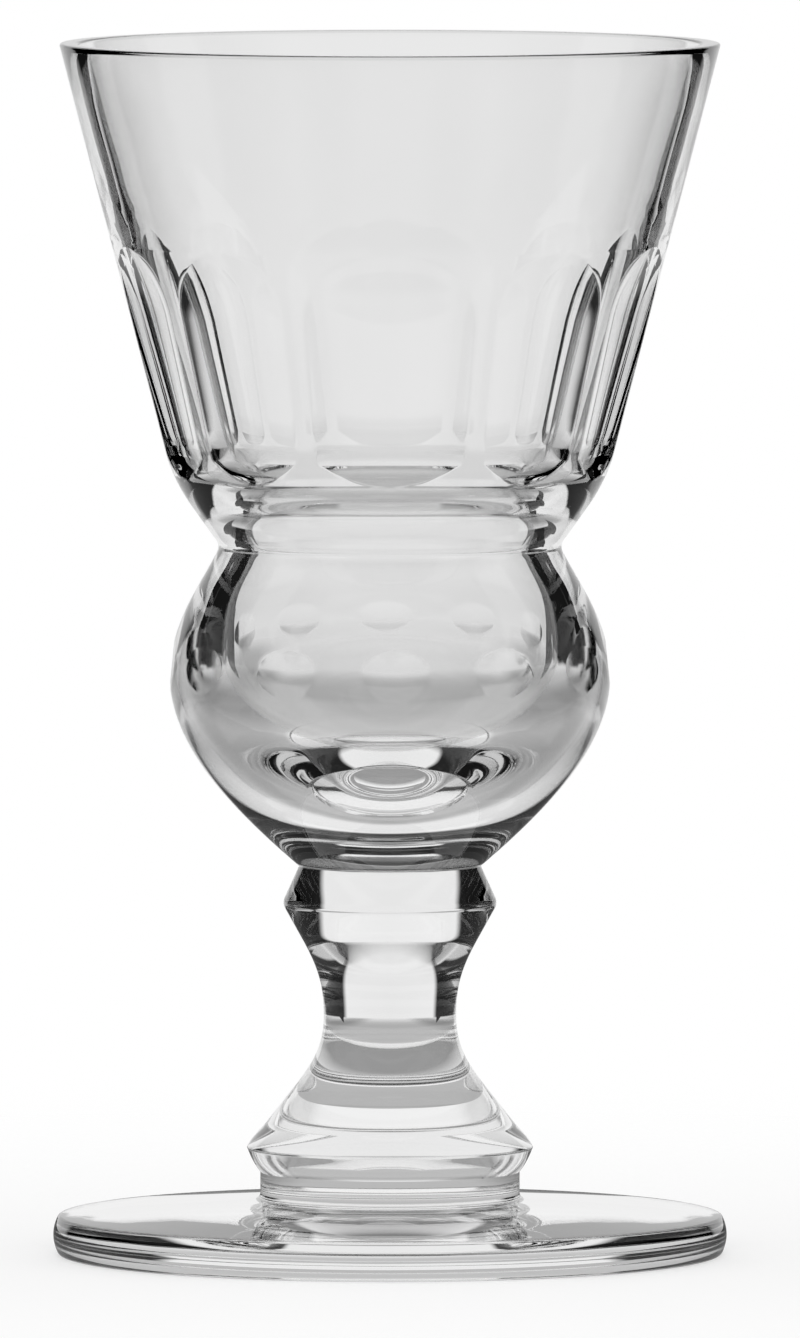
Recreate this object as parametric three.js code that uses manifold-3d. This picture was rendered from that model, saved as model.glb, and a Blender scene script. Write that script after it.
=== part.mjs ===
// A stemmed absinthe glass in clear glass: bowl, stem and foot, joined hot at two seams.
// Millimetres, +Z up, the middle of the resting plane at the origin, the front flute facing -Y.
import * as THREE from "three";
import { mergeVertices } from "three/addons/utils/BufferGeometryUtils.js";
import Module from "manifold-3d";

const GLASS_HEIGHT = 150; // resting plane to the rim

// Foot
const FOOT_RADIUS = 41.7; // widest, half way up the edge
const FOOT_EDGE_HEIGHT = 4.8; // edge of the disc
const FOOT_EDGE_BULGE = 0.65; // how far the edge swells past its two corners
const FOOT_TOP_RISE = 1.9; // slope of the disc up to the collar
const FOOT_COLLAR_FILLET = 1.0;
const FOOT_COLLAR_HEIGHT = 3.5; // top of the slope to the stem seam
const FOOT_REST_WIDTH = 5.5; // flat ring that the glass stands on
const FOOT_KICK = 0.6; // hollow under the middle

// Stem, from the foot upwards
const FOOT_SEAM_RADIUS = 16.05;
const LOWER_KNOP_RADIUS = 17.7;
const LOWER_KNOP_RISE = 3.0; // seam to the widest point
const LOWER_KNOP_ROUND = 2.75; // height over which the knop runs into the cone
const LOWER_CONE_RADIUS = 12.0; // top of the straight cone
const LOWER_CONE_RISE = 7.3;
const SPOOL_RADIUS = 8.2;
const SPOOL_LOWER_RISE = 9.1; // cone to the narrowest point
const SPOOL_UPPER_RISE = 9.5; // narrowest point to the upper cone
const UPPER_CONE_RADIUS = 10.9; // bottom of the upper cone
const UPPER_CONE_RISE = 4.4;
const UPPER_KNOP_RADIUS = 13.35;
const UPPER_KNOP_ROUND = 0.7;
const UPPER_KNOP_RISE = 4.6; // widest point to the bowl seam
const BOWL_SEAM_RADIUS = 11.25;

// Bowl outside, from the stem upwards
const BELLY_RADIUS = 27.25;
const BELLY_RISE = 23.5; // seam to the widest point of the reservoir
const WAIST_RADIUS = 21.15;
const WAIST_RISE = 16.4; // belly to the waist
const WAIST_ROUND = 1.0; // length of the waist slope that the groove's rounding takes
const SHOULDER_RADIUS = 26.85; // where waist slope and cup cone would meet
const SHOULDER_RISE = 8.0;
const SHOULDER_ROUND = 3.4; // length of slope and cone that the rounding takes
const RIM_RADIUS = 40.9;

// Bowl inside
const RIM_WALL = 2.4;
const RIM_LAND = 1.5; // flat left between the two roundings of the rim
const CUP_BASE_WALL = 4.1;
const CUP_FLOOR_DROP = 2.7; // how far above the shoulder the cup wall starts to turn in
const CUP_FLOOR_TURN = 3.9; // how far down the turn follows the cup wall
const THROAT_WALL = 4.05;
const THROAT_REACH = 7.7; // how far up the throat stays upright
const THROAT_DROP = 0.8; // narrowest inside point, below the waist
const RESERVOIR_WALL = 6.15;
const RESERVOIR_LIFT = 2.0; // widest inside point, above the belly
const BASE_GLASS = 10.6; // solid glass between the seam and the reservoir floor

// Flutes on the cup. The front one is wider, as the photo shows, and the back one takes what is left
const FLUTE_SIDE_COUNT = 4; // on each side
const FLUTE_FRONT_PITCH = 43.4; // degrees
const FLUTE_SIDE_PITCH = 32.7; // degrees
const FLUTE_RIDGE = 5.0; // degrees of uncut glass between two flutes
const FLUTE_DEPTH = 1.05;
const FLUTE_TOP_DROP = 24.7; // rim to the tops of the arches
const FLUTE_ARCH = 8.5; // height of each arch
const FLUTE_RUN = 2.7; // height over which each flute runs out on the shoulder

// Oval cuts round the reservoir
const DOT_COUNT = 12;
const DOT_TURN = 1.5; // degrees off the front
const DOT_WIDTH = 8.3;
const DOT_HEIGHT = 5.8;
const DOT_DEPTH = 0.42;
const DOT_LIFT = 1.8; // above the widest point of the belly
const DOT_CUTTER_DEPTH = 1; // half depth of the egg-shaped cutter
const BELLY_CURVE = 17.5; // upright radius of the belly at the ovals

// Mesh fineness
const STATIONS = 7; // angles across a flute
const DOT_SEGMENTS = 24;
const DOT_ROWS = 9; // rows from the belly to the waist, where the ovals are cut
const STEM_SEGMENTS = 48;
const FOOT_SEGMENTS = 64;
const CURVE_STEPS = 5;

const wasm = await Module();
wasm.setup();

const radians = THREE.MathUtils.degToRad;

// Heights of the seams and turning points
const footSlopeTop = FOOT_EDGE_HEIGHT + FOOT_TOP_RISE;
const footSeam = footSlopeTop + FOOT_COLLAR_HEIGHT;
const lowerKnop = footSeam + LOWER_KNOP_RISE;
const lowerConeTop = lowerKnop + LOWER_CONE_RISE;
const spool = lowerConeTop + SPOOL_LOWER_RISE;
const upperConeBase = spool + SPOOL_UPPER_RISE;
const upperKnop = upperConeBase + UPPER_CONE_RISE;
const bowlSeam = upperKnop + UPPER_KNOP_RISE;
const belly = bowlSeam + BELLY_RISE;
const waist = belly + WAIST_RISE;
const shoulder = waist + SHOULDER_RISE;
const rim = GLASS_HEIGHT;

const coneSlope = (RIM_RADIUS - SHOULDER_RADIUS) / (rim - shoulder);
const waistSlope = (SHOULDER_RADIUS - WAIST_RADIUS) / SHOULDER_RISE;

// Radius of the cup's outer cone, carried on below the shoulder.
function coneRadius(z) {
  return RIM_RADIUS - coneSlope * (rim - z);
}

// Points along a path, with repeated ones left out.
function pointsOf(path) {
  const points = path.getPoints(CURVE_STEPS);
  return points.filter((p, i) => i === 0 || p.distanceTo(points[i - 1]) > 1e-6);
}

// Turns a profile of radius and height round Z. The profile starts and ends on the axis.
function turned(points, segments) {
  return new THREE.LatheGeometry(points, segments).rotateX(Math.PI / 2);
}

function footProfile() {
  const corner = FOOT_RADIUS - FOOT_EDGE_BULGE;
  const restInner = corner - FOOT_REST_WIDTH;
  const collarStart = FOOT_SEAM_RADIUS + FOOT_COLLAR_FILLET;
  const path = new THREE.Path();
  path.moveTo(0, FOOT_KICK);
  path.quadraticCurveTo(restInner * 0.6, FOOT_KICK, restInner, 0);
  path.lineTo(corner, 0);
  path.quadraticCurveTo(FOOT_RADIUS + FOOT_EDGE_BULGE, FOOT_EDGE_HEIGHT / 2, corner, FOOT_EDGE_HEIGHT);
  path.lineTo(collarStart, footSlopeTop);
  path.quadraticCurveTo(
    FOOT_SEAM_RADIUS, footSlopeTop, FOOT_SEAM_RADIUS, footSlopeTop + FOOT_COLLAR_FILLET
  );
  path.lineTo(FOOT_SEAM_RADIUS, footSeam);
  path.lineTo(0, footSeam);
  return pointsOf(path);
}

function stemProfile() {
  const knopSwell = LOWER_KNOP_RADIUS - FOOT_SEAM_RADIUS;
  const coneSide = (LOWER_KNOP_RADIUS - LOWER_CONE_RADIUS) / LOWER_CONE_RISE;
  const upperSide = (UPPER_KNOP_RADIUS - UPPER_CONE_RADIUS) / UPPER_CONE_RISE;
  const topSide = (UPPER_KNOP_RADIUS - BOWL_SEAM_RADIUS) / UPPER_KNOP_RISE;
  const lowerReach = SPOOL_LOWER_RISE * 0.3;
  const upperReach = SPOOL_UPPER_RISE * 0.33;
  const path = new THREE.Path();
  path.moveTo(0, footSeam);
  path.lineTo(FOOT_SEAM_RADIUS, footSeam);
  path.quadraticCurveTo(
    FOOT_SEAM_RADIUS + knopSwell * 0.55, lowerKnop - LOWER_KNOP_RISE * 0.65, LOWER_KNOP_RADIUS, lowerKnop
  );
  path.quadraticCurveTo(
    LOWER_KNOP_RADIUS - coneSide * LOWER_KNOP_ROUND * 0.29, lowerKnop + LOWER_KNOP_ROUND * 0.45,
    LOWER_KNOP_RADIUS - coneSide * LOWER_KNOP_ROUND, lowerKnop + LOWER_KNOP_ROUND
  );
  path.lineTo(LOWER_CONE_RADIUS, lowerConeTop);
  path.bezierCurveTo(
    LOWER_CONE_RADIUS - coneSide * lowerReach, lowerConeTop + lowerReach,
    SPOOL_RADIUS, spool - SPOOL_LOWER_RISE * 0.45,
    SPOOL_RADIUS, spool
  );
  path.bezierCurveTo(
    SPOOL_RADIUS, spool + SPOOL_UPPER_RISE * 0.42,
    UPPER_CONE_RADIUS - upperSide * upperReach, upperConeBase - upperReach,
    UPPER_CONE_RADIUS, upperConeBase
  );
  path.lineTo(UPPER_KNOP_RADIUS - upperSide * UPPER_KNOP_ROUND, upperKnop - UPPER_KNOP_ROUND);
  path.quadraticCurveTo(
    UPPER_KNOP_RADIUS, upperKnop,
    UPPER_KNOP_RADIUS - topSide * UPPER_KNOP_ROUND, upperKnop + UPPER_KNOP_ROUND
  );
  path.lineTo(BOWL_SEAM_RADIUS, bowlSeam);
  path.lineTo(0, bowlSeam);
  return pointsOf(path);
}

const fluteTop = rim - FLUTE_TOP_DROP;
const archBase = fluteTop - FLUTE_ARCH;

// Place of one mesh angle across a flute, from -1 at one edge to 1 at the other.
function station(k) {
  const share = k / (STATIONS - 1);
  return share - 0.5 - Math.cos(Math.PI * share) / 2;
}

// Outside of the bowl from the seam to the rim, with rows where the arches need them.
function bowlOutside() {
  const round = SHOULDER_ROUND;
  const path = new THREE.Path();
  path.moveTo(0, bowlSeam);
  path.lineTo(BOWL_SEAM_RADIUS, bowlSeam);
  path.bezierCurveTo(
    BOWL_SEAM_RADIUS + BELLY_RISE * 0.29, bowlSeam + BELLY_RISE * 0.25,
    BELLY_RADIUS, belly - BELLY_RISE * 0.39,
    BELLY_RADIUS, belly
  );
  const lip = waist - WAIST_ROUND * 0.9;
  const overBelly = new THREE.CubicBezierCurve(
    new THREE.Vector2(BELLY_RADIUS, belly),
    new THREE.Vector2(BELLY_RADIUS, belly + WAIST_RISE * 0.4),
    new THREE.Vector2(WAIST_RADIUS + WAIST_RISE * 0.15, lip - WAIST_RISE * 0.27),
    new THREE.Vector2(WAIST_RADIUS + WAIST_ROUND * 0.2, lip)
  );
  for (const point of overBelly.getPoints(DOT_ROWS)) {
    path.lineTo(point.x, point.y);
  }
  path.quadraticCurveTo(
    WAIST_RADIUS - WAIST_ROUND * 0.2, waist,
    WAIST_RADIUS + waistSlope * WAIST_ROUND, waist + WAIST_ROUND
  );
  path.lineTo(SHOULDER_RADIUS - waistSlope * round, shoulder - round);
  path.quadraticCurveTo(SHOULDER_RADIUS, shoulder, coneRadius(shoulder + round), shoulder + round);
  for (let k = 0; k < STATIONS / 2; k += 1) {
    const z = archBase + FLUTE_ARCH * Math.sqrt(1 - station(k) ** 2);
    path.lineTo(coneRadius(z), z);
  }
  path.lineTo(coneRadius(fluteTop), fluteTop);
  const bead = (RIM_WALL - RIM_LAND) / 2;
  path.lineTo(coneRadius(rim - bead), rim - bead);
  path.quadraticCurveTo(RIM_RADIUS, rim, RIM_RADIUS - bead, rim);
  return pointsOf(path);
}

// Inside of the bowl from the rim down to the middle of the reservoir floor.
function bowlInside() {
  const bead = (RIM_WALL - RIM_LAND) / 2;
  const rimInner = RIM_RADIUS - RIM_WALL;
  const turnIn = shoulder + CUP_FLOOR_DROP;
  const turnRadius = coneRadius(turnIn) - CUP_BASE_WALL;
  const slope = (rimInner - turnRadius) / (rim - turnIn);
  const throat = waist - THROAT_DROP;
  const throatRadius = WAIST_RADIUS - THROAT_WALL;
  const widest = belly + RESERVOIR_LIFT;
  const widestRadius = BELLY_RADIUS - RESERVOIR_WALL;
  const floor = bowlSeam + BASE_GLASS;
  const path = new THREE.Path();
  path.moveTo(rimInner + bead, rim);
  path.quadraticCurveTo(rimInner, rim, rimInner - slope * bead, rim - bead);
  path.lineTo(turnRadius, turnIn);
  path.bezierCurveTo(
    turnRadius - slope * CUP_FLOOR_TURN, turnIn - CUP_FLOOR_TURN,
    throatRadius, throat + THROAT_REACH,
    throatRadius, throat
  );
  path.bezierCurveTo(
    throatRadius, throat - (throat - widest) * 0.19,
    widestRadius, widest + (throat - widest) * 0.55,
    widestRadius, widest
  );
  path.bezierCurveTo(
    widestRadius, widest - (widest - floor) * 0.6,
    widestRadius * 0.4, floor,
    0, floor
  );
  return pointsOf(path);
}

// Middle and half width, in radians, of each flute, the front one first.
function fluteCells() {
  const front = radians(FLUTE_FRONT_PITCH);
  const side = radians(FLUTE_SIDE_PITCH);
  const back = 2 * Math.PI - front - 2 * FLUTE_SIDE_COUNT * side;
  const sides = new Array(FLUTE_SIDE_COUNT).fill(side);
  const cells = [];
  let start = -front / 2;
  for (const pitch of [front, ...sides, back, ...sides]) {
    cells.push({ middle: start + pitch / 2, half: (pitch - radians(FLUTE_RIDGE)) / 2 });
    start += pitch;
  }
  return cells;
}

// Depth of a flute at a height, tau being -1 and 1 at the flute's two edges. Each top is an arch, and
// each bottom runs out straight over the upper part of the shoulder's rounding.
function fluteSink(z, tau) {
  const up = Math.max(0, (z - archBase) / FLUTE_ARCH);
  const down = Math.max(0, (shoulder + SHOULDER_ROUND - z) / FLUTE_RUN);
  return FLUTE_DEPTH * Math.max(0, 1 - up * up - down - tau * tau);
}

// A turned bowl whose angles follow the flutes and whose outside is sunk at each flute.
function flutedBowl() {
  const cells = fluteCells();
  const outside = bowlOutside();
  const points = [...outside, ...bowlInside()];
  const segments = cells.length * STATIONS;
  const bowl = new THREE.LatheGeometry(points, segments);
  const place = bowl.getAttribute("position");
  for (let i = 0; i <= segments; i += 1) {
    const cell = cells[Math.floor(i / STATIONS) % cells.length];
    const tau = station(i % STATIONS);
    const angle = cell.middle + tau * cell.half;
    points.forEach((point, j) => {
      const sink = j < outside.length ? fluteSink(point.y, tau) : 0;
      const r = point.x - sink;
      place.setXYZ(i * points.length + j, r * Math.sin(angle), point.y, r * Math.cos(angle));
    });
  }
  return bowl.rotateX(Math.PI / 2);
}

// An egg-shaped cutter that leaves one oval of the given width, height and depth in the belly.
function dotCutter(k) {
  const deep = DOT_CUTTER_DEPTH;
  const across = (4 * DOT_DEPTH) / DOT_WIDTH ** 2 - 1 / (2 * BELLY_RADIUS);
  const upright = (4 * DOT_DEPTH) / DOT_HEIGHT ** 2 - 1 / (2 * BELLY_CURVE);
  const cutter = new THREE.SphereGeometry(1, DOT_SEGMENTS, DOT_SEGMENTS);
  cutter.scale(Math.sqrt(deep / (2 * across)), deep, Math.sqrt(deep / (2 * upright)));
  cutter.translate(0, DOT_DEPTH - deep - dotRadius(), belly + DOT_LIFT);
  return cutter.rotateZ(radians(DOT_TURN) + (2 * Math.PI * k) / DOT_COUNT);
}

// Outer radius of the belly at the height of the ovals.
function dotRadius() {
  const z = belly + DOT_LIFT;
  const outside = bowlOutside();
  const above = outside.findIndex((p) => p.y > z && p.x > WAIST_RADIUS);
  const low = outside[above - 1];
  const share = (z - low.y) / (outside[above].y - low.y);
  return low.x + (outside[above].x - low.x) * share;
}

function manifoldOf(geometry) {
  const plain = geometry.clone();
  plain.deleteAttribute("normal");
  plain.deleteAttribute("uv");
  const merged = mergeVertices(plain, 1e-4);
  return new wasm.Manifold(new wasm.Mesh({
    numProp: 3,
    vertProperties: Float32Array.from(merged.getAttribute("position").array),
    triVerts: Uint32Array.from(merged.getIndex().array),
  }));
}

// Takes every cutter away from a body.
function carved(body, cutters) {
  const solid = wasm.Manifold.difference([manifoldOf(body), ...cutters.map(manifoldOf)]);
  const mesh = solid.getMesh();
  const geometry = new THREE.BufferGeometry();
  geometry.setAttribute("position", new THREE.BufferAttribute(Float32Array.from(mesh.vertProperties), 3));
  geometry.setIndex(new THREE.BufferAttribute(Uint32Array.from(mesh.triVerts), 1));
  geometry.computeVertexNormals();
  return geometry;
}

const clearGlass = new THREE.MeshStandardMaterial({
  name: "clear_glass", color: 0xf0f2f2, roughness: 0.03, metalness: 0, transparent: true, opacity: 0.45,
});

const group = new THREE.Group();

function addPiece(name, geometry) {
  const mesh = new THREE.Mesh(geometry, clearGlass);
  mesh.name = name;
  group.add(mesh);
}

const dots = Array.from({ length: DOT_COUNT }, (_, k) => dotCutter(k));
addPiece("bowl", carved(flutedBowl(), dots));
addPiece("stem", turned(stemProfile(), STEM_SEGMENTS));
addPiece("foot", turned(footProfile(), FOOT_SEGMENTS));

export default group;
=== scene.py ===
"""Looks of the absinthe glass: bowl, stem and foot as fine surfaces of clear glass in a small studio."""
import math

import bpy
import numpy as np
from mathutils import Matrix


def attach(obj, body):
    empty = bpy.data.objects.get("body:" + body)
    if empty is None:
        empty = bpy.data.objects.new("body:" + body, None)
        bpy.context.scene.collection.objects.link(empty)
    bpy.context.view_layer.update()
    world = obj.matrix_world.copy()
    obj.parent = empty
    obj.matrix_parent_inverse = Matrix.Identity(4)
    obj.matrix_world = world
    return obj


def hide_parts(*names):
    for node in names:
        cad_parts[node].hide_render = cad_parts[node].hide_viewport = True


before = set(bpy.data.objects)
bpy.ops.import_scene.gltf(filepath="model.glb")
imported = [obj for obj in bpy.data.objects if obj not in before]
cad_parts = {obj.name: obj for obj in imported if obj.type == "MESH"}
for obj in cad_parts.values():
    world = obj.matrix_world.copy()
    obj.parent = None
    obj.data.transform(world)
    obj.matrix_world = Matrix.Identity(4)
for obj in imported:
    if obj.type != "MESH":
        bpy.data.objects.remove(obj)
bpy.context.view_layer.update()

# Lengths of the glass are millimetres, as in the part's source, and those of the studio are metres
MM = 0.001
SAME_POINT = 1e-6

GLASS_HEIGHT = 150.0

# Foot
FOOT_RADIUS = 41.7
FOOT_EDGE_HEIGHT = 4.8
FOOT_EDGE_BULGE = 0.65
FOOT_EDGE_ROUND = 0.3
FOOT_TOP_RISE = 1.9
FOOT_COLLAR_FILLET = 1.0
FOOT_COLLAR_HEIGHT = 3.5
FOOT_REST_WIDTH = 5.5
FOOT_KICK = 0.6

# Stem
FOOT_SEAM_RADIUS = 16.05
LOWER_KNOP_RADIUS = 17.7
LOWER_KNOP_RISE = 3.0
LOWER_KNOP_ROUND = 2.75
LOWER_CONE_RADIUS = 12.0
LOWER_CONE_RISE = 7.3
SPOOL_RADIUS = 8.2
SPOOL_LOWER_RISE = 9.1
SPOOL_UPPER_RISE = 9.5
UPPER_CONE_RADIUS = 10.9
UPPER_CONE_RISE = 4.4
UPPER_KNOP_RADIUS = 13.35
UPPER_KNOP_ROUND = 0.7
UPPER_KNOP_RISE = 4.6
BOWL_SEAM_RADIUS = 11.25

# Bowl outside
BELLY_RADIUS = 27.25
BELLY_RISE = 23.5
WAIST_RADIUS = 21.15
WAIST_RISE = 16.4
WAIST_ROUND = 1.0
SHOULDER_RADIUS = 26.85
SHOULDER_RISE = 8.0
SHOULDER_ROUND = 3.4
RIM_RADIUS = 40.9

# Bowl inside
RIM_WALL = 2.4
RIM_LAND = 1.5
CUP_BASE_WALL = 4.1
CUP_FLOOR_DROP = 2.7
CUP_FLOOR_TURN = 3.9
THROAT_WALL = 4.05
THROAT_REACH = 7.7
THROAT_DROP = 0.8
RESERVOIR_WALL = 6.15
RESERVOIR_LIFT = 2.0
BASE_GLASS = 10.6

# Where the handles and some ends of the curves lie, as shares of the stretch or rounding they belong to
KICK_LEVEL = 0.6
EDGE_LIFT = 0.08
KNOP_SWELL = 0.55
KNOP_START = 0.65
KNOP_TURN_IN = 0.29
KNOP_TURN_UP = 0.45
SPOOL_FROM_CONE = 0.3
SPOOL_TO_NARROW = 0.45
SPOOL_FROM_NARROW = 0.42
SPOOL_TO_FLARE = 0.33
BELLY_FLARE = 0.29
BELLY_START = 0.25
BELLY_UNDER = 0.39
BELLY_OVER = 0.4
WAIST_FLARE = 0.15
WAIST_UNDER = 0.27
LIP_OUT = 0.2
LIP_DOWN = 0.9
THROAT_UNDER = 0.19
RESERVOIR_OVER = 0.55
RESERVOIR_UNDER = 0.6
RESERVOIR_LEVEL = 0.4

# Flutes on the cup: pitches and the ridge between two flutes are degrees. The columns of a flute close up
# to the pinch, a share of its width, at its ends, and open again over the lengths above and below
FLUTE_SIDE_COUNT = 4
FLUTE_FRONT_PITCH = 43.4
FLUTE_SIDE_PITCH = 32.7
FLUTE_RIDGE = 5.0
FLUTE_DEPTH = 1.05
FLUTE_TOP_DROP = 24.7
FLUTE_ARCH = 8.5
FLUTE_RUN = 2.7
FLUTE_PINCH = 0.06
FLUTE_OPEN_ABOVE = 9.0
FLUTE_OPEN_BELOW = 4.0
FLUTE_CELLS = 28
RIDGE_CELLS = 8
# Rows on the cup's cone below the arch of the flutes, up the arch and above it
LOWER_CUP_ROWS = 8
ARCH_ROWS = 22
UPPER_CUP_ROWS = 14

# Oval cuts round the reservoir: the turn is degrees, the lean is the share by which a cut is deeper at its
# lower end and shallower at its upper end, and the polish is its roughness, in full past the soft edge.
# Its columns close up to the pinch at its ends, and open again at this rate for each half height
DOT_COUNT = 12
DOT_TURN = 1.5
DOT_WIDTH = 8.3
DOT_HEIGHT = 5.8
DOT_DEPTH = 0.3
DOT_LEAN = 0.4
DOT_LIFT = 1.8
DOT_POLISH = 0.12
DOT_SOFT_EDGE = 0.15
DOT_PINCH = 0.1
DOT_OPEN = 0.7
DOT_CELLS = 20
DOT_GAP_CELLS = 10

# Above the belly the columns slide from the ovals' spacing to the flutes': where they start, and how far
SLIDE_START = 7.4
SLIDE_LENGTH = 13.0

# Columns of the stem and the foot, and the degrees between two faces past which an edge stays sharp
TURNED_STATIONS = 256
CREASE_ANGLE = 50.0

foot_slope_top = FOOT_EDGE_HEIGHT + FOOT_TOP_RISE
foot_seam = foot_slope_top + FOOT_COLLAR_HEIGHT
lower_knop = foot_seam + LOWER_KNOP_RISE
lower_cone_top = lower_knop + LOWER_CONE_RISE
spool = lower_cone_top + SPOOL_LOWER_RISE
upper_cone_base = spool + SPOOL_UPPER_RISE
upper_knop = upper_cone_base + UPPER_CONE_RISE
bowl_seam = upper_knop + UPPER_KNOP_RISE
belly = bowl_seam + BELLY_RISE
waist = belly + WAIST_RISE
shoulder = waist + SHOULDER_RISE
rim = GLASS_HEIGHT
flute_top = rim - FLUTE_TOP_DROP
arch_base = flute_top - FLUTE_ARCH
cone_slope = (RIM_RADIUS - SHOULDER_RADIUS) / (rim - shoulder)
waist_slope = (SHOULDER_RADIUS - WAIST_RADIUS) / SHOULDER_RISE


def cone_radius(z):
    """Radius of the cup's outer cone: a straight line from the shoulder to the rim, carried on below it."""
    return RIM_RADIUS - cone_slope * (rim - z)


def bend(*handles, steps):
    """Points of a smooth curve from the first handle to the last, drawn towards those between them: the
    handles are blended pair by pair along t until one is left."""
    t = np.linspace(0, 1, steps + 1)[:, None]
    row = [np.broadcast_to(np.array(h, float), (steps + 1, 2)) for h in handles]
    while len(row) > 1:
        row = [a + (b - a) * t for a, b in zip(row, row[1:])]
    return row[0]


def joined(*stretches):
    """One outline of radius and height from its stretches, with repeated points left out."""
    whole = np.vstack(stretches)
    keep = np.r_[True, np.hypot(*np.diff(whole, axis=0).T) > SAME_POINT]
    return whole[keep]


def ease(x):
    """Smooth step from 0 to 1: three x squared less two x cubed."""
    x = np.clip(x, 0, 1)
    return x * x * (3 - 2 * x)


def foot_outline():
    """Hollow underside, flat resting ring, swelling edge, gentle top slope and the collar's fillet, as
    bends and straight lines from the axis outwards and up to the seam."""
    corner = FOOT_RADIUS - FOOT_EDGE_BULGE
    rest = corner - FOOT_REST_WIDTH
    start = FOOT_SEAM_RADIUS + FOOT_COLLAR_FILLET
    edge = FOOT_EDGE_ROUND
    low = (corner + edge / 2, edge)
    high = (corner + edge / 2, FOOT_EDGE_HEIGHT - edge)
    swell = 2 * FOOT_RADIUS - corner - edge / 2
    brim = (corner - edge, FOOT_EDGE_HEIGHT + edge * EDGE_LIFT)
    slope = (start, foot_slope_top)
    fillet = (FOOT_SEAM_RADIUS, foot_slope_top + FOOT_COLLAR_FILLET)
    return joined(
        bend((0, FOOT_KICK), (rest * KICK_LEVEL, FOOT_KICK), (rest, 0), steps=24),
        bend((rest, 0), (corner - edge, 0), steps=4),
        bend((corner - edge, 0), (corner, 0), low, steps=6),
        bend(low, (swell, FOOT_EDGE_HEIGHT / 2), high, steps=20),
        bend(high, (corner, FOOT_EDGE_HEIGHT), brim, steps=8),
        bend(brim, slope, steps=20),
        bend(slope, (FOOT_SEAM_RADIUS, foot_slope_top), fillet, steps=14),
        bend(fillet, (FOOT_SEAM_RADIUS, foot_seam), steps=4),
    )


def stem_outline():
    """Lower knop and cone, waisted spool, upper cone and upper knop, from the foot seam to the bowl seam,
    as bends joined by straight lines."""
    swell = LOWER_KNOP_RADIUS - FOOT_SEAM_RADIUS
    cone = (LOWER_KNOP_RADIUS - LOWER_CONE_RADIUS) / LOWER_CONE_RISE
    upper = (UPPER_KNOP_RADIUS - UPPER_CONE_RADIUS) / UPPER_CONE_RISE
    top = (UPPER_KNOP_RADIUS - BOWL_SEAM_RADIUS) / UPPER_KNOP_RISE
    low_reach = SPOOL_LOWER_RISE * SPOOL_FROM_CONE
    high_reach = SPOOL_UPPER_RISE * SPOOL_TO_FLARE
    low_turn = LOWER_KNOP_ROUND
    high_turn = UPPER_KNOP_ROUND
    knop = (LOWER_KNOP_RADIUS, lower_knop)
    knop_turn = (LOWER_KNOP_RADIUS - cone * low_turn * KNOP_TURN_IN, lower_knop + low_turn * KNOP_TURN_UP)
    knop_top = (LOWER_KNOP_RADIUS - cone * low_turn, lower_knop + low_turn)
    cone_top = (LOWER_CONE_RADIUS, lower_cone_top)
    narrow = (SPOOL_RADIUS, spool)
    flare = (UPPER_CONE_RADIUS, upper_cone_base)
    under = (UPPER_KNOP_RADIUS - upper * high_turn, upper_knop - high_turn)
    over = (UPPER_KNOP_RADIUS - top * high_turn, upper_knop + high_turn)
    return joined(
        bend((FOOT_SEAM_RADIUS, foot_seam),
             (FOOT_SEAM_RADIUS + swell * KNOP_SWELL, lower_knop - LOWER_KNOP_RISE * KNOP_START),
             knop, steps=16),
        bend(knop, knop_turn, knop_top, steps=14),
        bend(knop_top, cone_top, steps=12),
        bend(cone_top, (LOWER_CONE_RADIUS - cone * low_reach, lower_cone_top + low_reach),
             (SPOOL_RADIUS, spool - SPOOL_LOWER_RISE * SPOOL_TO_NARROW), narrow, steps=30),
        bend(narrow, (SPOOL_RADIUS, spool + SPOOL_UPPER_RISE * SPOOL_FROM_NARROW),
             (UPPER_CONE_RADIUS - upper * high_reach, upper_cone_base - high_reach), flare, steps=30),
        bend(flare, under, steps=8),
        bend(under, (UPPER_KNOP_RADIUS, upper_knop), over, steps=8),
        bend(over, (BOWL_SEAM_RADIUS, bowl_seam), steps=8),
    )


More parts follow.
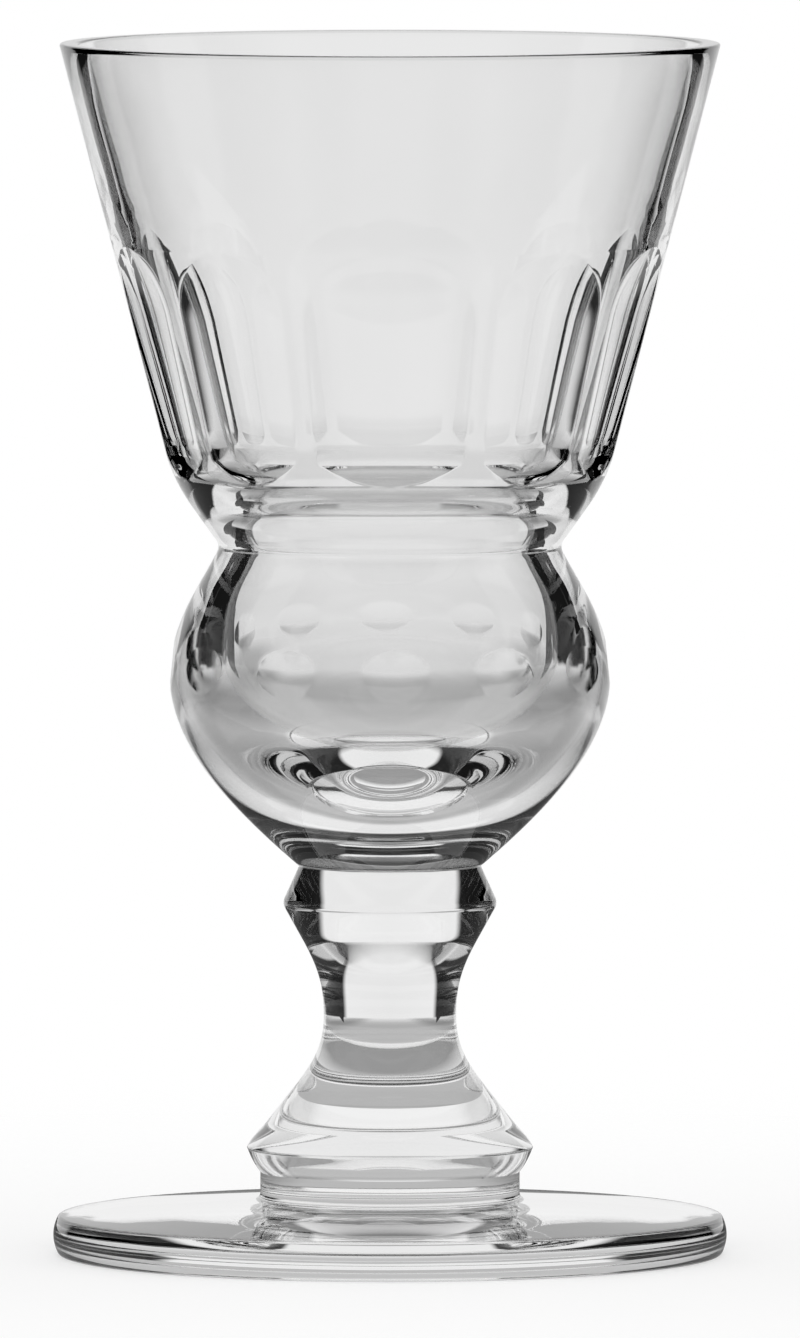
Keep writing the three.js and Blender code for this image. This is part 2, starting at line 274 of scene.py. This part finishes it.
def outer_wall():
    """Outside of the bowl: reservoir belly, sharp waist, shoulder, straight cup cone and rounded rim, as
    bends and straight lines, with closer rows up the flutes' arch."""
    turn = SHOULDER_ROUND
    bead = (RIM_WALL - RIM_LAND) / 2
    lip = (WAIST_RADIUS + WAIST_ROUND * LIP_OUT, waist - WAIST_ROUND * LIP_DOWN)
    groove = (WAIST_RADIUS + waist_slope * WAIST_ROUND, waist + WAIST_ROUND)
    slope = (SHOULDER_RADIUS - waist_slope * turn, shoulder - turn)
    lower = np.linspace(shoulder + turn, arch_base, LOWER_CUP_ROWS)[1:-1]
    arch = arch_base + FLUTE_ARCH * np.sin(np.linspace(0, np.pi / 2, ARCH_ROWS))
    upper = np.linspace(flute_top, rim - bead, UPPER_CUP_ROWS)[1:]
    z = np.r_[lower, arch, upper]
    return joined(
        bend((BOWL_SEAM_RADIUS, bowl_seam),
             (BOWL_SEAM_RADIUS + BELLY_RISE * BELLY_FLARE, bowl_seam + BELLY_RISE * BELLY_START),
             (BELLY_RADIUS, belly - BELLY_RISE * BELLY_UNDER), (BELLY_RADIUS, belly), steps=36),
        bend((BELLY_RADIUS, belly), (BELLY_RADIUS, belly + WAIST_RISE * BELLY_OVER),
             (WAIST_RADIUS + WAIST_RISE * WAIST_FLARE, lip[1] - WAIST_RISE * WAIST_UNDER), lip, steps=40),
        bend(lip, (WAIST_RADIUS - WAIST_ROUND * LIP_OUT, waist), groove, steps=10),
        bend(groove, slope, steps=5),
        bend(slope, (SHOULDER_RADIUS, shoulder), (cone_radius(shoulder + turn), shoulder + turn), steps=22),
        np.c_[cone_radius(z), z],
        bend((cone_radius(rim - bead), rim - bead), (RIM_RADIUS, rim), (RIM_RADIUS - bead, rim), steps=8),
    )


def inner_wall():
    """Inside of the bowl from the rim down: cup wall, turn to the throat, reservoir and its round floor, as
    bends and one straight line that end on the axis."""
    bead = (RIM_WALL - RIM_LAND) / 2
    mouth = RIM_RADIUS - RIM_WALL
    turn = shoulder + CUP_FLOOR_DROP
    turn_radius = cone_radius(turn) - CUP_BASE_WALL
    slope = (mouth - turn_radius) / (rim - turn)
    throat = waist - THROAT_DROP
    throat_radius = WAIST_RADIUS - THROAT_WALL
    wide = belly + RESERVOIR_LIFT
    wide_radius = BELLY_RADIUS - RESERVOIR_WALL
    floor = bowl_seam + BASE_GLASS
    return joined(
        bend((mouth + bead, rim), (mouth, rim), (mouth - slope * bead, rim - bead), steps=8),
        bend((mouth - slope * bead, rim - bead), (turn_radius, turn), steps=8),
        bend((turn_radius, turn), (turn_radius - slope * CUP_FLOOR_TURN, turn - CUP_FLOOR_TURN),
             (throat_radius, throat + THROAT_REACH), (throat_radius, throat), steps=28),
        bend((throat_radius, throat), (throat_radius, throat - (throat - wide) * THROAT_UNDER),
             (wide_radius, wide + (throat - wide) * RESERVOIR_OVER), (wide_radius, wide), steps=24),
        bend((wide_radius, wide), (wide_radius, wide - (wide - floor) * RESERVOIR_UNDER),
             (wide_radius * RESERVOIR_LEVEL, floor), (0, floor), steps=36),
    )


def flute_ring():
    """Middles and half widths of the flutes in degrees: a wide one in front, narrower ones along both
    sides and a wide one behind, set end to end from the front one's left edge."""
    sides = np.full(FLUTE_SIDE_COUNT, FLUTE_SIDE_PITCH)
    back = 360 - FLUTE_FRONT_PITCH - 2 * sides.sum()
    pitch = np.r_[FLUTE_FRONT_PITCH, sides, back, sides]
    middle = np.cumsum(pitch) - pitch / 2 - FLUTE_FRONT_PITCH / 2
    return middle, (pitch - FLUTE_RIDGE) / 2


def dot_ring():
    """Middles and half widths of the oval cuts in degrees, evenly round the belly."""
    middle = DOT_TURN + np.arange(DOT_COUNT) * 360 / DOT_COUNT
    return middle, np.full(DOT_COUNT, np.degrees(DOT_WIDTH / 2 / BELLY_RADIUS))


def across(cells):
    """Stations from -1 to 1 over a cut, closer together at its edges: half a line and half a cosine."""
    line = np.linspace(-1, 1, cells + 1)
    return line / 2 - np.cos(np.linspace(0, np.pi, cells + 1)) / 2


def stations(middle, half, reach, tau, gaps):
    """Angles of every row: tau over each cut, whose half width is multiplied by the row's reach, and even
    steps over the plain glass up to the next cut."""
    wide = reach[:, None] * half
    left, right = middle - wide, middle + wide
    following = np.hstack([left[:, 1:], left[:, :1] + 360])
    inside = middle[:, None] + wide[..., None] * tau
    share = np.arange(1, gaps) / gaps
    plain = right[..., None] + (following - right)[..., None] * share
    return np.concatenate([inside, plain], -1).reshape(len(reach), -1)


def flute_cuts(z):
    """Angles of the rows at heights z, and how deep the flutes sink the wall there: the flute's depth times
    w less the squared distance from its middle in half widths. w falls from 1 to 0 up the arch by a square
    and over the run-out on the shoulder in a straight line."""
    up = np.maximum(0, (z - arch_base) / FLUTE_ARCH)
    down = np.maximum(0, (shoulder + SHOULDER_ROUND - z) / FLUTE_RUN)
    w = 1 - up ** 2 - down
    run_out = z[w > 0].min()
    above = ease((z - flute_top) / FLUTE_OPEN_ABOVE)
    below = ease((run_out - z) / FLUTE_OPEN_BELOW)
    opened = FLUTE_PINCH + (1 - FLUTE_PINCH) * np.where(z > shoulder, above, below)
    reach = np.where(w > 0, np.maximum(FLUTE_PINCH, np.sqrt(np.maximum(w, 0))), opened)
    tau = across(FLUTE_CELLS)
    middle, half = flute_ring()
    angle = stations(middle, half, reach, tau, RIDGE_CELLS)
    tau_round = np.tile(np.r_[tau, np.full(RIDGE_CELLS - 1, np.inf)], len(middle))
    return angle, FLUTE_DEPTH * np.maximum(0, w[:, None] - (tau_round * reach[:, None]) ** 2)


def dot_cuts(z):
    """Angles of the rows at heights z, and how deep the ovals sink the wall there: the oval's depth times 1
    less both squared distances from its middle, in half heights and half widths, times 1 less the lean
    times the height above its middle. The front oval's middle column is the front flute's."""
    up = (z - belly - DOT_LIFT) / (DOT_HEIGHT / 2)
    v = np.abs(up)
    opened = DOT_PINCH + (1 - DOT_PINCH) * ease((v - 1) * DOT_OPEN)
    reach = np.where(v < 1, np.maximum(DOT_PINCH, np.sqrt(np.maximum(0, 1 - v ** 2))), opened)
    tau = across(DOT_CELLS)
    middle, half = dot_ring()
    first = (FLUTE_CELLS - DOT_CELLS) // 2
    angle = np.roll(stations(middle, half, reach, tau, DOT_GAP_CELLS), first, 1)
    angle[:, :first] -= 360
    tau_round = np.roll(np.tile(np.r_[tau, np.full(DOT_GAP_CELLS - 1, np.inf)], DOT_COUNT), first)
    oval = DOT_DEPTH * np.maximum(0, 1 - v[:, None] ** 2 - (tau_round * reach[:, None]) ** 2)
    return angle, oval * (1 - DOT_LEAN * up[:, None])


def bowl_rings():
    """Radius, angle and height of the whole bowl wall, outside up and inside down: the outside's radius
    less the depths of its flutes and ovals, and the plain inside. The angles of a row follow the edges of
    its cuts, and slide from the ovals' spacing to the flutes' spacing between them."""
    r, z = outer_wall().T
    inside = inner_wall()[:-1]
    flute_angle, flute = flute_cuts(z)
    dot_angle, oval = dot_cuts(z)
    slide = ease((z - belly - SLIDE_START) / SLIDE_LENGTH)[:, None]
    angle = dot_angle + (flute_angle - dot_angle) * slide
    plain = stations(*flute_ring(), np.ones(len(inside)), across(FLUTE_CELLS), RIDGE_CELLS)
    radius = np.vstack([r[:, None] - flute - oval, np.broadcast_to(inside[:, :1], plain.shape)])
    return radius, np.radians(np.vstack([angle, plain])), np.r_[z, inside[:, 1]]


def turned_rings(outline):
    """The same radius all round: an outline carried round the axis at even angles."""
    turn = np.arange(TURNED_STATIONS) * 2 * np.pi / TURNED_STATIONS
    angle = np.broadcast_to(turn, (len(outline), TURNED_STATIONS))
    return np.broadcast_to(outline[:, :1], angle.shape), angle, outline[:, 1]


def glass_piece(name, rings, low, high, seams):
    """Rings of radius and angle from -Y as one closed mesh, shut at each end by a fan to a point on the
    axis. The fans named in seams are where hot glass flowed together, so light passes them unbent."""
    radius, angle, z = rings
    rows, n = radius.shape
    height = np.broadcast_to(z[:, None], radius.shape)
    xyz = np.stack([radius * np.sin(angle), -radius * np.cos(angle), height], -1).reshape(-1, 3)
    verts = np.vstack([xyz, [[0, 0, low], [0, 0, high]]]) * MM
    first = np.arange(rows - 1)[:, None] * n
    here = np.arange(n)
    beside = (here + 1) % n
    quads = np.stack([first + here, first + beside, first + n + beside, first + n + here], -1)
    quads = quads.reshape(-1, 4)
    last = (rows - 1) * n
    under = np.stack([beside, here, np.full(n, rows * n)], -1)
    over = np.stack([last + here, last + beside, np.full(n, rows * n + 1)], -1)
    mesh = bpy.data.meshes.new(name)
    mesh.from_pydata(verts, [], quads.tolist() + under.tolist() + over.tolist())
    mesh.materials.append(clear_glass)
    mesh.materials.append(seam_glass)
    slots = np.r_[np.zeros(len(quads), int), np.full(n, "low" in seams), np.full(n, "high" in seams)]
    mesh.polygons.foreach_set("material_index", slots.astype(np.int32))
    mesh.polygons.foreach_set("use_smooth", np.ones(len(mesh.polygons), bool))
    mesh.set_sharp_from_angle(angle=math.radians(CREASE_ANGLE))
    mesh.update()
    piece = bpy.data.objects.new(name, mesh)
    bpy.context.scene.collection.objects.link(piece)
    return piece


def node(tree, kind, links=(), **settings):
    """A shader node with its settings, and its inputs linked or set by name or number."""
    made = tree.nodes.new(kind)
    for key, value in settings.items():
        setattr(made, key, value)
    for key, value in dict(links).items():
        if isinstance(value, bpy.types.NodeSocket):
            tree.links.new(value, made.inputs[key])
        else:
            made.inputs[key].default_value = value
    return made


def sums(tree, operation, *values):
    """One maths node: the operation on its values."""
    return node(tree, "ShaderNodeMath", enumerate(values), operation=operation).outputs[0]


def between(tree, share, first, second):
    """The first value where the share is 0 and the second where it is 1, mixed evenly between."""
    return node(tree, "ShaderNodeMix", {0: share, 2: first, 3: second}).outputs[0]


def run(tree, value, start, end, low, high, **settings):
    """From low to high while the value goes from start to end, and level beyond both."""
    links = {0: value, 1: start, 2: end, 3: low, 4: high}
    return node(tree, "ShaderNodeMapRange", links, **settings).outputs[0]


def shaders(tree, share, first, second):
    """The first shader where the share is 0 and the second where it is 1."""
    return node(tree, "ShaderNodeMixShader", {0: share, 1: first, 2: second}).outputs[0]


def noise(tree, place, scale, detail):
    """Cloudy noise from 0 to 1, with its scale in cells per metre."""
    return node(tree, "ShaderNodeTexNoise", {"Vector": place, "Scale": scale, "Detail": detail}).outputs[0]


def grey_ramp(tree, factor, stops):
    """A ramp of greys given as places from 0 to 1 and values."""
    ramp = node(tree, "ShaderNodeValToRGB", {0: factor})
    band = ramp.color_ramp.elements
    while len(band) < len(stops):
        band.new(0.5)
    for element, (place, grey) in zip(band, stops):
        element.position = place
        element.color = (grey, grey, grey, 1)
    return ramp.outputs[0]


# Clear glass: how strongly it bends light, its greys from the cloudiest place to the clearest, the cells
# per metre of its three patterns, and the height of its waves in metres
GLASS_INDEX = 1.52
CLARITY = [(0.3, 0.985), (0.7, 1.0)]
CLARITY_SCALE = 45.0
SMEAR_SCALE = 140.0
WAVE_SCALE = 70.0
WAVE_HEIGHT = 0.00004
# Smears: the noise where they start and are full, and their roughness
SMEAR_START = 0.45
SMEAR_FULL = 0.8
SMEAR_ROUGHNESS = 0.012
# Scuffed ring: metres above the table up to which it is full and where it ends, and its roughness
SCUFF_FULL = 0.0001
SCUFF_END = 0.0003
SCUFF_ROUGHNESS = 0.03


def oval_roughness(tree, place):
    """Roughness of the oval cuts: 1 less both squared distances from the nearest oval's middle, as in the
    mesh, brought to the ovals' polish over their soft edge, and none on the inside of the bowl."""
    x, y, height = node(tree, "ShaderNodeSeparateXYZ", {0: place}).outputs
    pitch = 2 * math.pi / DOT_COUNT
    turn = sums(tree, "ARCTAN2", x, sums(tree, "MULTIPLY", y, -1.0))
    turn = sums(tree, "SUBTRACT", turn, math.radians(DOT_TURN))
    round_dot = sums(tree, "WRAP", turn, pitch / 2, -pitch / 2)
    wide = sums(tree, "POWER", sums(tree, "MULTIPLY", round_dot, BELLY_RADIUS / (DOT_WIDTH / 2)), 2.0)
    rise = sums(tree, "SUBTRACT", height, (belly + DOT_LIFT) * MM)
    tall = sums(tree, "POWER", sums(tree, "DIVIDE", rise, DOT_HEIGHT / 2 * MM), 2.0)
    oval = sums(tree, "SUBTRACT", 1.0, sums(tree, "ADD", wide, tall))
    ground = run(tree, oval, 0.0, DOT_SOFT_EDGE, 0.0, DOT_POLISH)
    flat = node(tree, "ShaderNodeCombineXYZ", {0: x, 1: y, 2: 0.0}).outputs[0]
    out = node(tree, "ShaderNodeVectorMath", {0: flat}, operation="LENGTH").outputs[1]
    outer = sums(tree, "GREATER_THAN", out, (BELLY_RADIUS - RESERVOIR_WALL / 2) * MM)
    return sums(tree, "MULTIPLY", ground, outer)


def make_clear_glass():
    """Clear neutral glass: nearly smooth, with the slight waves of a hand-finished wall, a faint change of
    clarity from place to place, the scuffed ring that the foot stands on and softer polish in the ovals."""
    material = bpy.data.materials.new("clear_glass")
    material.use_nodes = True
    tree = material.node_tree
    shader = tree.nodes["Principled BSDF"]
    shader.inputs["IOR"].default_value = GLASS_INDEX
    shader.inputs["Transmission Weight"].default_value = 1.0
    place = node(tree, "ShaderNodeTexCoord").outputs["Object"]
    tint = grey_ramp(tree, noise(tree, place, CLARITY_SCALE, detail=2.0), CLARITY)
    tree.links.new(tint, shader.inputs["Base Color"])
    smear = noise(tree, place, SMEAR_SCALE, detail=4.0)
    height = node(tree, "ShaderNodeSeparateXYZ", {0: place}).outputs[2]
    worn = run(tree, height, SCUFF_FULL, SCUFF_END, SCUFF_ROUGHNESS, 0.0)
    polish = run(tree, smear, SMEAR_START, SMEAR_FULL, 0.0, SMEAR_ROUGHNESS)
    rough = sums(tree, "ADD", sums(tree, "MULTIPLY", worn, smear), polish)
    rough = sums(tree, "ADD", rough, oval_roughness(tree, place))
    tree.links.new(rough, shader.inputs["Roughness"])
    waves = noise(tree, place, WAVE_SCALE, detail=1.0)
    bump = node(tree, "ShaderNodeBump", {"Strength": 1.0, "Distance": WAVE_HEIGHT, "Height": waves})
    tree.links.new(bump.outputs[0], shader.inputs["Normal"])
    return material


def make_seam_glass():
    """The join inside the glass: light goes straight through it."""
    material = bpy.data.materials.new("seam_glass")
    material.use_nodes = True
    tree = material.node_tree
    tree.nodes.remove(tree.nodes["Principled BSDF"])
    clear = node(tree, "ShaderNodeBsdfTransparent")
    tree.links.new(clear.outputs[0], tree.nodes["Material Output"].inputs["Surface"])
    return material


# Greys of the room round the glass: degrees from straight behind it, and grey at its own level
ROOM = [(0, 0.86), (30, 0.9), (34, 0.01), (77, 0.01), (80, 0.6), (102, 0.6), (105, 0.03), (115, 0.03),
        (124, 0.22), (180, 0.22)]
# Lit wall in front, its degrees round and up, and the dark ceiling with its degrees up
FRONT_LIGHT = 0.65
FRONT_TURN = [(128, 0), (140, 1)]
FRONT_TILT = [(8, 0), (14, 1)]
CEILING = 0.03
CEILING_TILT = [(35, 0), (49, 1)]
# Far table below the room: its grey, the degrees where the room starts above it, the same in the dark at
# both sides of the sheet, and the degrees round where each of the two holds
FAR_TABLE = 0.77
ROOM_TILT = [(-12, 0), (-6, 1)]
DARK_TILT = [(-26, 0), (-20, 1)]
ROOM_TURN = [(30, 1), (34, 0), (80, 0), (95, 1)]
# What is left of the room for mirrored light: degrees from straight behind, and share
MIRROR_TURN = [(33, 1), (38, 0.08)]

# Black cards beside the sheet: metres behind the axis and aside at the near edge, length, height and grey
CARD_BACK = 0.14
CARD_NEAR = 0.088
CARD_LENGTH = 0.13
CARD_TOP = 0.115
CARD_GREY = 0.01

# Painted light and shade glowing on the table as the glass sees it: metres from the axis, and grey
TABLE_PAINTED_LIGHT = [(0.0, 0.33), (0.015, 0.33), (0.019, 0.95), (0.041, 0.95), (0.047, 0.55), (0.062, 0.5),
         (0.123, 0.5), (0.14, 0.44), (0.17, 0.46), (0.21, 0.54), (0.26, 0.7), (0.3, 0.77)]
# Painted shade on those greys: metres to the side of the axis, and share of the grey left
TABLE_SHADE = [(0.045, 1.0), (0.08, 0.62), (0.11, 0.62), (0.15, 1.0)]
# Share of that painted glow that is left for light that hasn't passed the glass
TABLE_MIRRORED = 0.3
TABLE_RADIUS = 0.32
TABLE_DROP = 0.00005
TABLE_CORNERS = 128
# Where the table fades out: metres from the axis for the camera, and where its edge starts for other light
TABLE_FADE = (0.1, 0.3)
TABLE_EDGE = 0.27
# The table as the camera sees it: its own colour, and the share of plain white mixed in
TABLE_WHITE = 0.98
TABLE_GLOW = 0.5

# Camera: metres in front of the axis, aside and up, the height it looks at, its lens in millimetres, and
# how many metres it sees
CAMERA_AHEAD = 3.317
CAMERA_ASIDE = 0.00124
CAMERA_HEIGHT = 0.2867
CAMERA_AIM = 0.0725
CAMERA_LENS = 723
CAMERA_FAR = 20


def make_room():
    """White for the camera and even light for the floor. Light that has passed the glass sees the room that
    a clear glass is lit in: a light grey sheet behind it, black to each side of the sheet, pale sheets at
    the sides, a dim room in front with a lit wall higher up, a dark ceiling and a far table below.
    Mirrored light sees the sheet and a dimmer room. Greys follow the angle round from +Y and the angle
    from the horizon."""
    world = bpy.data.worlds.new("room")
    bpy.context.scene.world = world
    world.use_nodes = True
    world.cycles.sampling_method = "NONE"
    tree = world.node_tree
    place = node(tree, "ShaderNodeTexCoord").outputs["Generated"]
    x, y, z = node(tree, "ShaderNodeSeparateXYZ", {0: place}).outputs
    turn = sums(tree, "DIVIDE", sums(tree, "ARCTAN2", sums(tree, "ABSOLUTE", x), y), math.pi)
    tilt = sums(tree, "ADD", sums(tree, "DIVIDE", sums(tree, "ARCSINE", z), math.pi), 0.5)

    def by_turn(stops):
        """Greys by the degrees round from straight behind the glass."""
        return grey_ramp(tree, turn, [(degrees / 180, grey) for degrees, grey in stops])

    def by_tilt(stops):
        """Greys by the degrees up from the horizon."""
        return grey_ramp(tree, tilt, [(0.5 + degrees / 180, grey) for degrees, grey in stops])

    front = sums(tree, "MULTIPLY", by_turn(FRONT_TURN), by_tilt(FRONT_TILT))
    walls = between(tree, front, by_turn(ROOM), FRONT_LIGHT)
    upper = between(tree, by_tilt(CEILING_TILT), walls, CEILING)
    over_table = between(tree, by_turn(ROOM_TURN), by_tilt(DARK_TILT), by_tilt(ROOM_TILT))
    seen = between(tree, over_table, FAR_TABLE, upper)
    mirror = sums(tree, "MULTIPLY", seen, by_turn(MIRROR_TURN))
    path = node(tree, "ShaderNodeLightPath").outputs
    plain = between(tree, path["Is Glossy Ray"], 1.0, mirror)
    strength = between(tree, path["Is Transmission Ray"], plain, seen)
    tree.links.new(strength, tree.nodes["Background"].inputs["Strength"])
    tree.nodes["Background"].inputs["Color"].default_value = (1, 1, 1, 1)


def make_floor():
    """A round table top just under the foot. The camera sees it pale, with the shadow of the glass, fading
    into the white round it. Light that has passed the glass sees it glow with painted light and shade:
    rings of grey by the distance from the axis, and painted shade along a band to each side of it. Other
    light sees this painted glow much dimmer."""
    angle = np.arange(TABLE_CORNERS) * 2 * np.pi / TABLE_CORNERS
    drop = np.full(TABLE_CORNERS, -TABLE_DROP)
    verts = np.c_[TABLE_RADIUS * np.cos(angle), TABLE_RADIUS * np.sin(angle), drop]
    mesh = bpy.data.meshes.new("floor")
    mesh.from_pydata(verts, [], [list(range(TABLE_CORNERS))])
    material = bpy.data.materials.new("pale_floor")
    material.use_nodes = True
    tree = material.node_tree
    shader = tree.nodes["Principled BSDF"]
    shader.inputs["Base Color"].default_value = (TABLE_WHITE, TABLE_WHITE, TABLE_WHITE, 1)
    shader.inputs["Roughness"].default_value = 1.0
    shader.inputs["Specular IOR Level"].default_value = 0.0
    place = node(tree, "ShaderNodeTexCoord").outputs["Object"]
    out = node(tree, "ShaderNodeVectorMath", {0: place}, operation="LENGTH").outputs[1]
    aside = sums(tree, "ABSOLUTE", node(tree, "ShaderNodeSeparateXYZ", {0: place}).outputs[0])

    def by_length(length, stops):
        """Greys by a length in metres."""
        share = sums(tree, "DIVIDE", length, TABLE_RADIUS)
        return grey_ramp(tree, share, [(metres / TABLE_RADIUS, grey) for metres, grey in stops])

    path = node(tree, "ShaderNodeLightPath").outputs
    # Light that has passed the glass sees the table glow with painted light and shade, and other light sees
    # that glow dimmer
    dim = run(tree, path["Is Transmission Ray"], 0.0, 1.0, TABLE_MIRRORED, 1.0)
    grey = sums(tree, "MULTIPLY", by_length(out, TABLE_PAINTED_LIGHT), by_length(aside, TABLE_SHADE))
    seen = node(tree, "ShaderNodeEmission", {"Strength": sums(tree, "MULTIPLY", grey, dim)}).outputs[0]
    white = node(tree, "ShaderNodeEmission", {"Strength": 1.0}).outputs[0]
    pale = shaders(tree, TABLE_GLOW, shader.outputs[0], white)
    top = shaders(tree, path["Is Camera Ray"], seen, pale)
    fade = run(tree, out, *TABLE_FADE, 0.0, 1.0, interpolation_type="SMOOTHSTEP")
    edge = run(tree, out, TABLE_EDGE, TABLE_RADIUS, 0.0, 1.0)
    gone = between(tree, path["Is Camera Ray"], edge, fade)
    clear = node(tree, "ShaderNodeBsdfTransparent").outputs[0]
    whole = shaders(tree, gone, top, clear)
    tree.links.new(whole, tree.nodes["Material Output"].inputs["Surface"])
    mesh.materials.append(material)
    floor = bpy.data.objects.new("floor", mesh)
    bpy.context.scene.collection.objects.link(floor)


def make_cards():
    """Two upright black cards behind the glass, left and right of the camera's view of it, each running
    outwards and back at 45 degrees. They help to give the glass its dark edges. Only light that has passed
    through the glass meets them."""
    material = bpy.data.materials.new("black_card")
    material.use_nodes = True
    tree = material.node_tree
    tree.nodes.remove(tree.nodes["Principled BSDF"])
    dark = node(tree, "ShaderNodeEmission", {"Strength": CARD_GREY}).outputs[0]
    clear = node(tree, "ShaderNodeBsdfTransparent").outputs[0]
    through = node(tree, "ShaderNodeLightPath").outputs["Is Transmission Ray"]
    card_shader = shaders(tree, through, clear, dark)
    tree.links.new(card_shader, tree.nodes["Material Output"].inputs["Surface"])
    reach = CARD_LENGTH * math.sqrt(0.5)
    for name, side in (("left_card", -1), ("right_card", 1)):
        near = (side * CARD_NEAR, CARD_BACK)
        far = (side * (CARD_NEAR + reach), CARD_BACK + reach)
        mesh = bpy.data.meshes.new(name)
        mesh.from_pydata([(*near, 0), (*far, 0), (*far, CARD_TOP), (*near, CARD_TOP)], [], [[0, 1, 2, 3]])
        mesh.materials.append(material)
        card = bpy.data.objects.new(name, mesh)
        bpy.context.scene.collection.objects.link(card)


def make_camera():
    """A long lens in front, a little above the glass, as in the photo."""
    camera = bpy.data.objects.new("camera", bpy.data.cameras.new("camera"))
    bpy.context.scene.collection.objects.link(camera)
    bpy.context.scene.camera = camera
    dip = math.atan((CAMERA_HEIGHT - CAMERA_AIM) / CAMERA_AHEAD)
    camera.location = (CAMERA_ASIDE, -CAMERA_AHEAD, CAMERA_HEIGHT)
    camera.rotation_euler = (math.pi / 2 - dip, 0, 0)
    camera.data.lens = CAMERA_LENS
    camera.data.clip_end = CAMERA_FAR


clear_glass = make_clear_glass()
seam_glass = make_seam_glass()

# The fan that shuts the foot's hollow takes the place of the outline's first point, which is on the axis
foot_line = foot_outline()[1:]
pieces = {
    "bowl": glass_piece("glass_bowl", bowl_rings(), bowl_seam, bowl_seam + BASE_GLASS, ("low",)),
    "stem": glass_piece("glass_stem", turned_rings(stem_outline()), foot_seam, bowl_seam, ("low", "high")),
    "foot": glass_piece("glass_foot", turned_rings(foot_line), FOOT_KICK, foot_seam, ("high",)),
}
for solid, piece in pieces.items():
    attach(piece, "root")
    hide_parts(solid)

make_room()
make_floor()
make_cards()
make_camera()

scene = bpy.context.scene
scene.view_settings.view_transform = "Standard"
# Light passes many walls of glass, and more than a few mirrored turns inside it would veil its dark edges
GLASS_WALLS = 40
MIRRORED_TURNS = 8
scene.cycles.max_bounces = GLASS_WALLS
scene.cycles.transmission_bounces = GLASS_WALLS
scene.cycles.transparent_max_bounces = GLASS_WALLS
scene.cycles.glossy_bounces = MIRRORED_TURNS
scene.cycles.blur_glossy = 0
